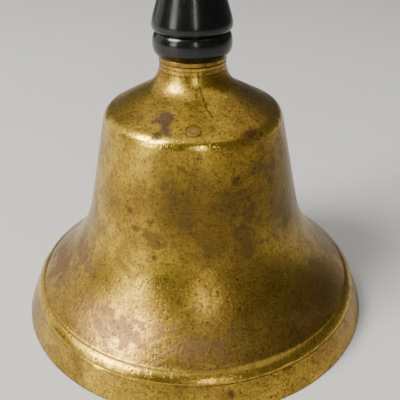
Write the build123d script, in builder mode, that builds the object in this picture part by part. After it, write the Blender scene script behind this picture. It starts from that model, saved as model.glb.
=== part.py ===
from build123d import *
import os
from math import atan2, cos, radians, sin, sqrt

# Altar handbell: a cast brass bell standing on its mouth, with a turned wooden grip bolted to its
# neck and an iron clapper hung inside. Millimetres, +Z up the handle, origin at the centre of the
# mouth, on the plane the lip rests on. The front, where the crown's plug is, faces -Y.

# Bell, outside
mouth_radius = 75.6          # outer radius of the lip
lip_edge = 0.5               # worn bevel at the foot of the lip
band_height = 10.0           # conical lip band, up to its turned groove
band_top_radius = 71.0
band_groove_width = 0.7
band_groove_depth = 0.4
ridge_width = 3.4            # broad rounded ridge above the groove, its height
ridge_step = 3.5             # how far the flare's foot lies inside the top of the band
ridge_bulge = 0.5            # how far the ridge stands out past a straight cone
flare_angle = 47.0           # climb of the flare where it leaves the ridge, degrees
flare_lower_pull = 12.5      # length of the flare curve's lower and upper handles
flare_upper_pull = 21.5
waist_foot_radius = 43.3     # where the flare becomes the straight, tapering waist
waist_foot_height = 50.0
shoulder_radius = 34.9       # corner of waist and crown, before it is rounded
shoulder_rounding = 6.5
crown_rise = 11.8            # climb of the sloping crown, shoulder to neck
crown_rounding = 11.2        # hollow curve from crown to neck
neck_radius = 12.75
neck_length = 7.5
neck_edge = 0.3
bell_height = 107.8          # lip to the top of the neck

# Bell, inside
lip_face = 5.0               # width of the flat face the bell stands on
bow_wall = 5.0               # thickened sound bow that the clapper strikes
waist_wall = 3.2
crown_wall = 4.2
inner_shoulder_rounding = 4.0
crown_seat_radius = 12.5     # flat under the crown for the washers

# Round plug let into the crown
plug_radius = 2.4
plug_place = 30.0            # distance of its centre from the bell's axis
plug_clearance = 0.03

# Handle and its fittings
seat_ring_thickness = 1.8
seat_ring_radius = 12.85
seat_ring_edge = 0.35
foot_radius = 12.8           # foot of the wooden grip
bead_radius = 15.0
bead_height = 8.5            # fat bead above the foot, up to the groove
groove_radius = 14.0
groove_width = 0.8
bulb_radius = 15.05          # second, thinner bead that runs out into the grip
bulb_rise = 2.0
grip_waist_radius = 9.2      # slim part of the grip
grip_waist_height = 40.0     # above the foot
grip_swell_radius = 15.4     # fattest part, in the palm
grip_swell_height = 86.0
grip_length = 130.0
grip_top_radius = 9.5        # flat under the cap washer
grip_lower_pull = 4.0        # lengths of the grip curves' handles
grip_waist_pull = 14.0
grip_swell_pull = 20.0
grip_shoulder_pull = 26.0
grip_top_pull = 4.6
rod_radius = 3.9
wood_clearance = 0.5         # drilled wood around the rod
cast_clearance = 0.3         # cast and stamped holes around the rod
thread_clearance = 0.05      # nuts on the rod
end_bevel = 0.6
cap_washer_radius = 8.5
cap_washer_thickness = 1.6
cap_nut_flats = 2 * rod_radius + 5.2  # across the flats, grows with the rod
cap_nut_height = 6.0         # hexagon of the domed nut
cap_dome_radius = rod_radius + 1.6    # the dome is a half ball around the rod's end
cap_thread_depth = 9.0
leather_radius = 11.6
leather_thickness = 1.6
crown_washer_radius = 10.5
crown_washer_thickness = 1.8
crown_nut_flats = 2 * rod_radius + 5.2
crown_nut_height = 6.4
nut_bevel = 0.9

# Clapper and its hanging
rod_shank_below_nut = 0.8
eye_radius = 6.2             # centre line of the forged eye at the rod's lower end
eye_wire = 2.0
eye_neck = 2.6               # taper from rod to eye
link_radius = 6.4
link_wire = 1.5
hanging_clearance = 0.2      # play where the links bear on each other
shank_eye_radius = 5.0
shank_eye_wire = 1.9
shank_eye_neck = 3.2
shank_radius = 2.9
collar_radius = 4.4          # shoulder on the shank that the ball seats against
collar_height = 2.2
ball_radius = 12.5
ball_flat_radius = 4.8       # flats at the ball's top and bottom
ball_bore_clearance = 0.05
spigot_radius = 2.5          # shank inside the ball
rivet_radius = 3.9
rivet_height = 1.0           # hammered end under the ball
clapper_lift = 4.0           # clapper's lowest point above the mouth plane


def shifted(start, end, wall):
    """The line from start to end, moved to its left by a wall."""
    slope = atan2(end[1] - start[1], end[0] - start[0])
    move = (-wall * sin(slope), wall * cos(slope))
    return (start[0] + move[0], start[1] + move[1]), (end[0] + move[0], end[1] + move[1])


def meeting(first, second):
    """The point where two lines, each given by two points, cross."""
    (ax, ay), (bx, by) = first
    (cx, cy), (dx, dy) = second
    turn = (bx - ax) * (dy - cy) - (by - ay) * (dx - cx)
    share = ((cx - ax) * (dy - cy) - (cy - ay) * (dx - cx)) / turn
    return (ax + share * (bx - ax), ay + share * (by - ay))


def at_height(line, height):
    """The point of a line, given by two points, at a height."""
    return meeting(line, ((0, height), (1, height)))


def pulled(point, toward, length):
    """A point moved by a length along the direction of a vector."""
    size = sqrt(toward[0] ** 2 + toward[1] ** 2)
    return (point[0] + toward[0] / size * length, point[1] + toward[1] / size * length)


def save(piece, name):
    piece.label = name
    export_step(piece, f"parts/{name}.step")


os.makedirs("parts", exist_ok=True)

# Heights that follow from the sizes above
neck_root = bell_height - neck_length
shoulder_height = neck_root - crown_rise
handle_foot = bell_height + seat_ring_thickness
handle_top = handle_foot + grip_length
cap_nut_base = handle_top + cap_washer_thickness

# Outer outline of the bell, as radius and height
band_top = (band_top_radius, band_height)
groove_top = (band_top_radius, band_height + band_groove_width)
flare_foot = (band_top_radius - ridge_step, groove_top[1] + ridge_width)
flare_direction = (-cos(radians(flare_angle)), sin(radians(flare_angle)))
ridge_middle = pulled(
    ((groove_top[0] + flare_foot[0]) / 2, (groove_top[1] + flare_foot[1]) / 2),
    (flare_foot[1] - groove_top[1], groove_top[0] - flare_foot[0]),
    ridge_bulge,
)
waist_foot = (waist_foot_radius, waist_foot_height)
shoulder = (shoulder_radius, shoulder_height)
crown_root = (neck_radius, neck_root)
waist_direction = (shoulder[0] - waist_foot[0], shoulder[1] - waist_foot[1])

# Inner outline: the same lines moved in by the walls
inner_waist = shifted(waist_foot, shoulder, waist_wall)
inner_crown = shifted(shoulder, crown_root, crown_wall)
inner_shoulder = meeting(inner_waist, inner_crown)
crown_seat = meeting(inner_crown, ((crown_seat_radius, 0), (crown_seat_radius, 1)))
inner_waist_foot = at_height(inner_waist, waist_foot_height)
bow = pulled(flare_foot, (-flare_direction[1], flare_direction[0]), bow_wall)
hole_radius = rod_radius + cast_clearance

with BuildPart() as bell_casting:
    with BuildSketch(Plane.XZ):
        with BuildLine():
            Polyline(
                (mouth_radius - lip_face, 0),
                (mouth_radius - lip_edge, 0),
                (mouth_radius, lip_edge),
                band_top,
                (band_top_radius - band_groove_depth, band_height + band_groove_width / 2),
                groove_top,
            )
            ThreePointArc(groove_top, ridge_middle, flare_foot)
            Bezier(
                flare_foot,
                pulled(flare_foot, flare_direction, flare_lower_pull),
                pulled(waist_foot, waist_direction, -flare_upper_pull),
                waist_foot,
            )
            FilletPolyline(
                waist_foot,
                shoulder,
                crown_root,
                (neck_radius, bell_height - neck_edge),
                radius=(shoulder_rounding, crown_rounding),
            )
            Polyline(
                (neck_radius, bell_height - neck_edge),
                (neck_radius - neck_edge, bell_height),
                (hole_radius, bell_height),
                (hole_radius, crown_seat[1]),
                crown_seat,
            )
            FilletPolyline(crown_seat, inner_shoulder, inner_waist_foot, radius=inner_shoulder_rounding)
            Bezier(
                inner_waist_foot,
                pulled(inner_waist_foot, waist_direction, -flare_upper_pull),
                pulled(bow, flare_direction, flare_lower_pull),
                bow,
            )
            Line(bow, (mouth_radius - lip_face, 0))
        make_face()
    revolve(axis=Axis.Z)

    # Hole for the plug, square to the crown's slope, on the front
    crown_slope = atan2(crown_rise, shoulder_radius - neck_radius)
    plug_height = meeting((shoulder, crown_root), ((plug_place, 0), (plug_place, 1)))[1]
    plug_plane = Plane(
        origin=(0, -plug_place, plug_height),
        x_dir=(1, 0, 0),
        z_dir=(0, -sin(crown_slope), cos(crown_slope)),
    )
    with BuildSketch(plug_plane):
        Circle(plug_radius + plug_clearance)
    extrude(amount=2 * crown_wall, both=True, mode=Mode.SUBTRACT)

with BuildPart() as crown_plug:
    with BuildSketch(plug_plane):
        Circle(plug_radius)
    extrude(amount=-crown_wall)

with BuildPart() as seat_ring:
    with BuildSketch(Plane.XY.offset(bell_height)):
        Circle(seat_ring_radius)
        Circle(hole_radius, mode=Mode.SUBTRACT)
    extrude(amount=seat_ring_thickness)
    chamfer(seat_ring.edges().filter_by(GeomType.CIRCLE).group_by(SortBy.RADIUS)[-1], seat_ring_edge)

# Wooden grip: bead, groove and second bead, then a slim waist and a swelling for the palm
bead_top = (groove_radius, handle_foot + bead_height)
bulb_foot = (groove_radius, bead_top[1] + groove_width)
bulb_peak = (bulb_radius, bulb_foot[1] + bulb_rise)
grip_waist = (grip_waist_radius, handle_foot + grip_waist_height)
grip_swell = (grip_swell_radius, handle_foot + grip_swell_height)
grip_top = (grip_top_radius, handle_top)
grip_bore = rod_radius + wood_clearance
upward = (0, 1)

with BuildPart() as handle_grip:
    with BuildSketch(Plane.XZ):
        with BuildLine():
            Line((grip_bore, handle_foot), (foot_radius, handle_foot))
            ThreePointArc(
                (foot_radius, handle_foot),
                (bead_radius, handle_foot + bead_height / 2),
                bead_top,
            )
            Polyline(
                bead_top,
                (groove_radius - groove_width / 2, bead_top[1] + groove_width / 2),
                bulb_foot,
            )
            TangentArc(bulb_peak, bulb_foot, tangent=upward, tangent_from_first=False)
            Bezier(
                bulb_peak,
                pulled(bulb_peak, upward, grip_lower_pull),
                pulled(grip_waist, upward, -grip_waist_pull),
                grip_waist,
            )
            Bezier(
                grip_waist,
                pulled(grip_waist, upward, grip_swell_pull),
                pulled(grip_swell, upward, -grip_swell_pull),
                grip_swell,
            )
            Bezier(
                grip_swell,
                pulled(grip_swell, upward, grip_shoulder_pull),
                (grip_top_radius + grip_top_pull, handle_top),
                grip_top,
            )
            Polyline(grip_top, (grip_bore, handle_top), (grip_bore, handle_foot))
        make_face()
    revolve(axis=Axis.Z)

with BuildPart() as cap_washer:
    with BuildSketch(Plane.XY.offset(handle_top)):
        Circle(cap_washer_radius)
        Circle(hole_radius, mode=Mode.SUBTRACT)
    extrude(amount=cap_washer_thickness)
    chamfer(cap_washer.edges().filter_by(GeomType.CIRCLE).group_by(Axis.Z)[-1], cap_washer_thickness / 5)

# Domed nut: turned outline first, then the six flats, then the blind thread
dome_base = cap_nut_base + cap_nut_height
dome_top = dome_base + cap_dome_radius
cap_corner = cap_nut_flats / sqrt(3)
eighth_turn = radians(45)

with BuildPart() as cap_nut:
    with BuildSketch(Plane.XZ):
        with BuildLine():
            Polyline(
                (0, dome_top),
                (0, cap_nut_base),
                (cap_corner, cap_nut_base),
                (cap_corner, dome_base - nut_bevel),
                (cap_dome_radius, dome_base),
            )
            ThreePointArc(
                (cap_dome_radius, dome_base),
                (cap_dome_radius * cos(eighth_turn), dome_base + cap_dome_radius * sin(eighth_turn)),
                (0, dome_top),
            )
        make_face()
    revolve(axis=Axis.Z)
    with BuildSketch(Plane.XY.offset(cap_nut_base)):
        RegularPolygon(cap_nut_flats / 2, 6, major_radius=False)
    extrude(amount=cap_nut_height + cap_dome_radius, mode=Mode.INTERSECT)
    with BuildSketch(Plane.XY.offset(cap_nut_base)):
        Circle(rod_radius + thread_clearance)
    extrude(amount=cap_thread_depth, mode=Mode.SUBTRACT)

# Washers and nut under the crown, on the same rod
leather_base = crown_seat[1] - leather_thickness
crown_washer_base = leather_base - crown_washer_thickness
crown_nut_base = crown_washer_base - crown_nut_height

with BuildPart() as crown_leather:
    with BuildSketch(Plane.XY.offset(leather_base)):
        Circle(leather_radius)
        Circle(hole_radius, mode=Mode.SUBTRACT)
    extrude(amount=leather_thickness)

with BuildPart() as crown_washer:
    with BuildSketch(Plane.XY.offset(crown_washer_base)):
        Circle(crown_washer_radius)
        Circle(hole_radius, mode=Mode.SUBTRACT)
    extrude(amount=crown_washer_thickness)
    chamfer(crown_washer.edges().filter_by(GeomType.CIRCLE).group_by(Axis.Z)[0], crown_washer_thickness / 6)

with BuildPart() as crown_nut:
    with BuildSketch(Plane.XY.offset(crown_nut_base)):
        RegularPolygon(crown_nut_flats / 2, 6, major_radius=False)
        Circle(rod_radius + thread_clearance, mode=Mode.SUBTRACT)
    extrude(amount=crown_nut_height)
    with BuildSketch(Plane.XZ):
        with BuildLine():
            nut_corner = crown_nut_flats / sqrt(3)
            Polyline(
                (0, crown_nut_base),
                (nut_corner - 2 * nut_bevel, crown_nut_base),
                (nut_corner, crown_nut_base + nut_bevel),
                (nut_corner, crown_nut_base + crown_nut_height - nut_bevel),
                (nut_corner - 2 * nut_bevel, crown_nut_base + crown_nut_height),
                (0, crown_nut_base + crown_nut_height),
                close=True,
            )
        make_face()
    revolve(axis=Axis.Z, mode=Mode.INTERSECT)

# Rod: threaded through crown and grip into the domed nut, forged into an eye at its lower end
eye_neck_top = crown_nut_base - rod_shank_below_nut
eye_height = eye_neck_top - eye_neck - eye_radius
rod_top = cap_nut_base + cap_thread_depth - end_bevel

with BuildPart() as handle_rod:
    with BuildSketch(Plane.XZ):
        with BuildLine():
            Polyline(
                (0, eye_height + eye_radius),
                (eye_wire - thread_clearance, eye_height + eye_radius),
                (rod_radius, eye_neck_top),
                (rod_radius, rod_top - end_bevel),
                (rod_radius - end_bevel, rod_top),
                (0, rod_top),
                close=True,
            )
        make_face()
    revolve(axis=Axis.Z)
    with Locations((0, 0, eye_height)):
        Torus(eye_radius, eye_wire, rotation=(90, 0, 0))

# Link: hangs in the rod's eye and carries the clapper's eye
link_height = eye_height - eye_radius + eye_wire + link_wire + hanging_clearance - link_radius
clapper_pivot = link_height - link_radius

with BuildPart() as clapper_link:
    with Locations((0, 0, link_height)):
        Torus(link_radius, link_wire, rotation=(0, 90, 0))

# Clapper: a forged shank with an eye, and a ball riveted on its end
shank_eye_height = clapper_pivot + link_wire + shank_eye_wire + hanging_clearance - shank_eye_radius
ball_flat = sqrt(ball_radius**2 - ball_flat_radius**2)
ball_height = clapper_lift + rivet_height + ball_flat
collar_base = ball_height + ball_flat
shank_top = shank_eye_height - shank_eye_radius

with BuildPart() as clapper_shank:
    with BuildSketch(Plane.XZ):
        with BuildLine():
            Polyline(
                (0, clapper_lift),
                (rivet_radius - rivet_height, clapper_lift),
                (rivet_radius, clapper_lift + rivet_height),
                (spigot_radius, clapper_lift + rivet_height),
                (spigot_radius, collar_base),
                (collar_radius, collar_base),
                (collar_radius, collar_base + collar_height / 2),
                (shank_radius, collar_base + collar_height),
                (shank_radius, shank_top - shank_eye_neck),
                (shank_eye_wire - thread_clearance, shank_top),
                (0, shank_top),
                close=True,
            )
        make_face()
    revolve(axis=Axis.Z)
    with Locations((0, 0, shank_eye_height)):
        Torus(shank_eye_radius, shank_eye_wire, rotation=(90, 0, 0))

with BuildPart() as clapper_ball:
    with BuildSketch(Plane.XZ):
        with BuildLine():
            ball_bore = spigot_radius + ball_bore_clearance
            Line((ball_bore, ball_height - ball_flat), (ball_flat_radius, ball_height - ball_flat))
            ThreePointArc(
                (ball_flat_radius, ball_height - ball_flat),
                (ball_radius, ball_height),
                (ball_flat_radius, ball_height + ball_flat),
            )
            Polyline(
                (ball_flat_radius, ball_height + ball_flat),
                (ball_bore, ball_height + ball_flat),
                (ball_bore, ball_height - ball_flat),
            )
        make_face()
    revolve(axis=Axis.Z)

save(bell_casting.part, "bell_casting")
save(crown_plug.part, "crown_plug")
save(seat_ring.part, "seat_ring")
save(handle_grip.part, "handle_grip")
save(cap_washer.part, "cap_washer")
save(cap_nut.part, "cap_nut")
save(crown_leather.part, "crown_leather")
save(crown_washer.part, "crown_washer")
save(crown_nut.part, "crown_nut")
save(handle_rod.part, "handle_rod")
save(clapper_link.part, "clapper_link")
save(clapper_shank.part, "clapper_shank")
save(clapper_ball.part, "clapper_ball")

print(f"link turns about the bell's axis; clapper pivot at z = {clapper_pivot:.3f} mm")
print(f"mouth face from radius {mouth_radius - lip_face:.2f} to {mouth_radius - lip_edge:.2f} mm")
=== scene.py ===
from math import atan2, cos, hypot, pi, radians, sin, sqrt

import bmesh
import bpy
from bpy.props import FloatProperty, FloatVectorProperty, PointerProperty
from bpy.types import Operator, Panel, PropertyGroup
from mathutils import Matrix, Vector, noise


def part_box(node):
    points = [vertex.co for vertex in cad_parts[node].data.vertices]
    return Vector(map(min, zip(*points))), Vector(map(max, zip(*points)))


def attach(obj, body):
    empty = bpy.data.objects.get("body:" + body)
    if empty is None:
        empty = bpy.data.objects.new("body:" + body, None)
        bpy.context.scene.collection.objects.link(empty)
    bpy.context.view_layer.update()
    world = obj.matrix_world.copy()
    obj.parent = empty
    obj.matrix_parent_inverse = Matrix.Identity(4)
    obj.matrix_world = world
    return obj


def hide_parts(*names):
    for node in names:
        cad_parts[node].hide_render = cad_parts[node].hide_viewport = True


bl_info = {
    "name": "Altar handbell",
    "version": (1, 0, 0),
    "blender": (4, 5, 0),
    "location": "View3D > Sidebar > Handbell",
    "description": "Aged brass handbell with an ebonised grip, dressed over its frame",
    "category": "Add Mesh",
}

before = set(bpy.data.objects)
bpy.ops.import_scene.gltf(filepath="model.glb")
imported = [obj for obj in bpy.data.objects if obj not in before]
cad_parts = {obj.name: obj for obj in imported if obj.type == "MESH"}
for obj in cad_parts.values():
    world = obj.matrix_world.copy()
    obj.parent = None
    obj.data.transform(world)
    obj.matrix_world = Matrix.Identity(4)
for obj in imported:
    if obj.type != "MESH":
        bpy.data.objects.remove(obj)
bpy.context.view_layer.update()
MM = 0.001
SHOULDER_RADIUS = 34.9 * MM
NECK_RADIUS = 12.75 * MM
CROWN_RISE = 11.8 * MM
ROD_RADIUS = 3.9 * MM
NUT_BORE = 3.95 * MM
RING_BORE = 4.2 * MM
GRIP_BORE = 4.4 * MM
CAP_DOME = 5.5 * MM


# ---------------------------------------------------------------------------
# Sizes and colours
# ---------------------------------------------------------------------------

def length(name, text, default):
    """A length in metres, shown with its unit."""
    return FloatProperty(
        name=name, description=text, default=default, min=0.0, precision=5,
        subtype="DISTANCE", unit="LENGTH",
    )


def colour(name, text, default):
    """A linear colour without alpha."""
    return FloatVectorProperty(
        name=name, description=text, default=default, size=3, min=0.0, max=1.0, subtype="COLOR",
    )


def node_height(node, end):
    """Lowest (end 0) or highest (end 1) point of a frame node, in metres."""
    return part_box(node)[end][2]


def node_radius(node):
    """Outer radius of a round frame node, in metres."""
    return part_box(node)[1][0]


class BellSizes(PropertyGroup):
    mouth: length("Mouth radius", "Outer radius of the lip", node_radius("bell_casting"))
    neck_top: length("Neck top", "Height of the neck's top", node_height("bell_casting", 1))
    band_height: length("Band height", "Height of the conical lip band", 10 * MM)
    band_top: length("Band top radius", "Radius at the top of the lip band", 71 * MM)
    waist_foot: length("Waist foot radius", "Radius where the flare meets the waist", 43.3 * MM)
    waist_foot_height: length("Waist foot height", "Height where the flare ends", 50 * MM)
    shoulder: length("Shoulder radius", "Radius of the corner of waist and crown", SHOULDER_RADIUS)
    crown_rise: length("Crown rise", "Climb of the crown, shoulder to neck", CROWN_RISE)
    neck_length: length("Neck length", "Length of the neck above the crown", 7.5 * MM)
    neck: length("Neck radius", "Radius of the neck", NECK_RADIUS)
    dents: length("Unevenness", "Depth of the casting's worn unevenness", 0.10 * MM)


class GripSizes(PropertyGroup):
    foot: length("Foot radius", "Radius at the foot of the grip", 12.8 * MM)
    bead: length("Bead radius", "Radius of the fat bead", 15 * MM)
    bead_height: length("Bead height", "Height of the fat bead", 8.5 * MM)
    groove: length("Groove radius", "Radius beside the groove", 14 * MM)
    bulb: length("Second bead radius", "Radius of the second bead", 15.05 * MM)
    waist: length("Slim radius", "Radius of the slim part", 9.2 * MM)
    swell: length("Palm radius", "Radius of the swelling for the palm", 15.4 * MM)
    top: length("Top radius", "Radius of the flat top", 9.5 * MM)


class BellColours(PropertyGroup):
    brass: colour("Brass", "Clean, hand-worn brass", (0.83, 0.54, 0.062))
    # The tarnish colour also paints shade on the bell's right side.
    tarnish: colour("Tarnish", "Brown tarnish in clouds", (0.29, 0.150, 0.026))
    bloom: colour("Bloom", "Pink-brown bloom on the flare", (0.20, 0.108, 0.052))
    # The stain colour also paints shade at the lip's foot and in the band's groove.
    stain: colour("Stain", "Dark stains and pits", (0.075, 0.040, 0.014))
    wood: colour("Ebonised wood", "Black polished wood", (0.0035, 0.004, 0.003))
    floor: colour("Floor", "Pale floor", (0.72, 0.715, 0.695))


SETTINGS = {"bell_sizes": BellSizes, "grip_sizes": GripSizes, "bell_colours": BellColours}


# ---------------------------------------------------------------------------
# Outlines and meshes
# ---------------------------------------------------------------------------

def shifted(start, end, wall):
    """The line from start to end, moved to its left by a wall."""
    slope = atan2(end[1] - start[1], end[0] - start[0])
    move = (-wall * sin(slope), wall * cos(slope))
    return (start[0] + move[0], start[1] + move[1]), (end[0] + move[0], end[1] + move[1])


def meeting(first, second):
    """The point where two lines, each given by two points, cross."""
    (ax, ay), (bx, by) = first
    (cx, cy), (dx, dy) = second
    turn = (bx - ax) * (dy - cy) - (by - ay) * (dx - cx)
    share = ((cx - ax) * (dy - cy) - (cy - ay) * (dx - cx)) / turn
    return (ax + share * (bx - ax), ay + share * (by - ay))


def pulled(point, toward, distance):
    """A point moved by a distance along the direction of a vector."""
    size = hypot(*toward)
    return (point[0] + toward[0] / size * distance, point[1] + toward[1] / size * distance)


def curve(start, first, second, end, count):
    """Points of a cubic curve after its start."""
    points = []
    for step in range(1, count + 1):
        t = step / count
        shares = ((1 - t) ** 3, 3 * (1 - t) ** 2 * t, 3 * (1 - t) * t * t, t ** 3)
        points.append(tuple(
            sum(share * p[axis] for share, p in zip(shares, (start, first, second, end)))
            for axis in (0, 1)
        ))
    return points


def straight(start, end, count):
    """Evenly spaced points of a line after its start."""
    return [
        (start[0] + (end[0] - start[0]) * step / count, start[1] + (end[1] - start[1]) * step / count)
        for step in range(1, count + 1)
    ]


def rounded(before, corner, after, radius, count):
    """Points of the arc that rounds a corner between two lines."""
    back = pulled((0, 0), (before[0] - corner[0], before[1] - corner[1]), 1)
    ahead = pulled((0, 0), (after[0] - corner[0], after[1] - corner[1]), 1)
    half = atan2(
        abs(back[0] * ahead[1] - back[1] * ahead[0]), back[0] * ahead[0] + back[1] * ahead[1]
    ) / 2
    middle = pulled(corner, (back[0] + ahead[0], back[1] + ahead[1]), radius / sin(half))
    reach = radius * cos(half) / sin(half)
    first = pulled(corner, back, reach)
    last = pulled(corner, ahead, reach)
    begin = atan2(first[1] - middle[1], first[0] - middle[0])
    turn = atan2(last[1] - middle[1], last[0] - middle[0]) - begin
    turn = (turn + pi) % (2 * pi) - pi
    return [
        (middle[0] + radius * cos(begin + turn * step / count),
         middle[1] + radius * sin(begin + turn * step / count))
        for step in range(count + 1)
    ]


def arc(middle, radius, begin, end, count):
    """Points of an arc, from one angle to another in degrees."""
    return [
        (middle[0] + radius * cos(radians(begin + (end - begin) * step / count)),
         middle[1] + radius * sin(radians(begin + (end - begin) * step / count)))
        for step in range(count + 1)
    ]


def lathe(outline, steps, closed=True):
    """A bmesh turned round the Z axis from an outline of (radius, height) points."""
    shape = bmesh.new()
    ring = [shape.verts.new((radius, 0, height)) for radius, height in outline]
    edges = [shape.edges.new(pair) for pair in zip(ring, ring[1:])]
    if closed:
        edges.append(shape.edges.new((ring[-1], ring[0])))
    bmesh.ops.spin(
        shape, geom=ring + edges, axis=(0, 0, 1), cent=(0, 0, 0),
        angle=2 * pi, steps=steps, use_merge=True,
    )
    bmesh.ops.remove_doubles(shape, verts=shape.verts[:], dist=1e-6)
    bmesh.ops.recalc_face_normals(shape, faces=shape.faces[:])
    return shape


def torus(shape, height, radius, wire, turn, steps=72, sides=24):
    """Adds an upright closed ring of round wire, its hole's axis turned from Y by turn degrees."""
    turns = [2 * pi * side / sides for side in range(sides)]
    made = [shape.verts.new((radius + wire * cos(angle), 0, wire * sin(angle))) for angle in turns]
    edges = [shape.edges.new((made[side], made[(side + 1) % sides])) for side in range(sides)]
    before = set(shape.verts)
    bmesh.ops.spin(
        shape, geom=made + edges, axis=(0, 0, 1), cent=(0, 0, 0),
        angle=2 * pi, steps=steps, use_merge=True,
    )
    ring = made + [vert for vert in shape.verts if vert not in before]
    place = (
        Matrix.Translation((0, 0, height))
        @ Matrix.Rotation(radians(turn), 4, "Z")
        @ Matrix.Rotation(radians(90), 4, "X")
    )
    bmesh.ops.transform(shape, matrix=place, verts=ring)
    bmesh.ops.remove_doubles(shape, verts=ring, dist=1e-7)
    bmesh.ops.recalc_face_normals(shape, faces=shape.faces[:])


def piece(name, shape, materials, body, replaced, sharp=35):
    """Turns a bmesh into a finished piece that stands for a frame node and rides on its body."""
    mesh = bpy.data.meshes.new(name)
    shape.to_mesh(mesh)
    shape.free()
    mesh.shade_smooth()
    mesh.set_sharp_from_angle(angle=radians(sharp))
    for material in materials:
        mesh.materials.append(material)
    made = bpy.data.objects.new(name, mesh)
    bpy.context.collection.objects.link(made)
    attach(made, body)
    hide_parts(replaced)
    return made


# ---------------------------------------------------------------------------
# Shader nodes
# ---------------------------------------------------------------------------

def fill(node, values):
    """Sets a node's inputs, by name or number, or links them to other nodes' outputs."""
    for key, value in values.items():
        if isinstance(value, bpy.types.NodeSocket):
            node.id_data.links.new(value, node.inputs[key])
        else:
            node.inputs[key].default_value = value


def add(tree, kind, values=(), **settings):
    """Adds a node, makes its settings and fills its inputs."""
    made = tree.nodes.new(kind)
    for key, value in settings.items():
        setattr(made, key, value)
    fill(made, dict(values))
    return made


def maths(tree, operation, *values, clamp=False):
    """The result of a Math node."""
    made = add(tree, "ShaderNodeMath", dict(enumerate(values)), operation=operation, use_clamp=clamp)
    return made.outputs[0]


def times(tree, first, second):
    """Two values multiplied."""
    return maths(tree, "MULTIPLY", first, second)


def plus(tree, first, second):
    """Two values added."""
    return maths(tree, "ADD", first, second)


def minus(tree, first, second, clamp=False):
    """The second value taken from the first."""
    return maths(tree, "SUBTRACT", first, second, clamp=clamp)


def larger(tree, first, second):
    """The larger of two values."""
    return maths(tree, "MAXIMUM", first, second)


def ramp(tree, value, low, high):
    """A value stretched so that low gives 0 and high gives 1, with soft ends."""
    made = add(
        tree, "ShaderNodeMapRange",
        {"Value": value, "From Min": low, "From Max": high},
        interpolation_type="SMOOTHSTEP",
    )
    return made.outputs["Result"]


def blend(tree, mask, under, over):
    """One colour laid over another through a mask."""
    made = add(
        tree, "ShaderNodeMix", {"Factor": mask, 6: under, 7: over},
        data_type="RGBA", blend_type="MIX",
    )
    return made.outputs[2]


def lay(tree, under, over, mask, share=1.0):
    """One colour laid over another through a share of a mask."""
    return blend(tree, times(tree, mask, share), under, over)


def rgba(value):
    """A colour with a full alpha."""
    return (*value, 1.0)


def group(name, takes, gives):
    """A new shader node group with named inputs and outputs."""
    tree = bpy.data.node_groups.new(name, "ShaderNodeTree")
    kinds = {"value": "NodeSocketFloat", "vector": "NodeSocketVector"}
    for label, kind, default in takes:
        socket = tree.interface.new_socket(label, in_out="INPUT", socket_type=kinds[kind])
        if default is not None:
            socket.default_value = default
    for label, kind in gives:
        tree.interface.new_socket(label, in_out="OUTPUT", socket_type=kinds[kind])
    return tree, tree.nodes.new("NodeGroupInput").outputs, tree.nodes.new("NodeGroupOutput").inputs


def use(tree, made, **values):
    """Places a node group and returns its outputs. Names use _ for a space."""
    node = tree.nodes.new("ShaderNodeGroup")
    node.node_tree = made
    fill(node, {key.replace("_", " "): value for key, value in values.items()})
    return node.outputs


def around_group():
    """Where a point lies round the bell's axis: degrees from the front, and millimetres out and up."""
    tree, takes, gives = group(
        "Round the axis", [("Place", "vector", None)],
        [("Degrees", "value"), ("Out", "value"), ("Up", "value")],
    )
    split = add(tree, "ShaderNodeSeparateXYZ", {0: takes["Place"]}).outputs
    front = times(tree, split["Y"], -1.0)
    angle = maths(tree, "DEGREES", maths(tree, "ARCTAN2", split["X"], front))
    wide = maths(tree, "POWER", maths(tree, "ABSOLUTE", split["X"]), 2.0)
    deep = maths(tree, "POWER", maths(tree, "ABSOLUTE", split["Y"]), 2.0)
    out = maths(tree, "SQRT", plus(tree, wide, deep))
    tree.links.new(angle, gives["Degrees"])
    tree.links.new(maths(tree, "DIVIDE", out, MM), gives["Out"])
    tree.links.new(maths(tree, "DIVIDE", split["Z"], MM), gives["Up"])
    return tree


def cloud_group():
    """Soft patches of noise, cut between two levels."""
    tree, takes, gives = group(
        "Clouds",
        [("Place", "vector", None), ("Size mm", "value", 20.0), ("Low", "value", 0.4),
         ("High", "value", 0.6), ("Detail", "value", 6.0), ("Warp", "value", 0.0)],
        [("Mask", "value")],
    )
    scale = maths(tree, "DIVIDE", 1 / MM, takes["Size mm"])
    texture = add(
        tree, "ShaderNodeTexNoise",
        {"Vector": takes["Place"], "Scale": scale, "Detail": takes["Detail"],
         "Roughness": 0.58, "Distortion": takes["Warp"]},
    )
    tree.links.new(ramp(tree, texture.outputs["Fac"], takes["Low"], takes["High"]), gives["Mask"])
    return tree


def turned_group(around):
    """Fine rings left by the lathe, broken up by polishing."""
    tree, takes, gives = group(
        "Turned lines",
        [("Place", "vector", None), ("Pitch mm", "value", 0.8), ("Broken", "value", 0.5)],
        [("Lines", "value")],
    )
    spot = use(tree, around, Place=takes["Place"])
    section = add(tree, "ShaderNodeCombineXYZ", {"X": spot["Out"], "Z": spot["Up"]}).outputs[0]
    scale = maths(tree, "DIVIDE", 1.0, takes["Pitch mm"])
    rings = add(
        tree, "ShaderNodeTexNoise",
        {"Vector": section, "Scale": scale, "Detail": 3.0, "Roughness": 0.7},
    ).outputs["Fac"]
    gaps = add(
        tree, "ShaderNodeTexNoise", {"Vector": takes["Place"], "Scale": 90.0, "Detail": 4.0},
    ).outputs["Fac"]
    kept = ramp(tree, gaps, times(tree, takes["Broken"], 0.7), 0.75)
    lines = times(tree, minus(tree, rings, 0.5), kept)
    tree.links.new(plus(tree, lines, 0.5), gives["Lines"])
    return tree


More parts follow.
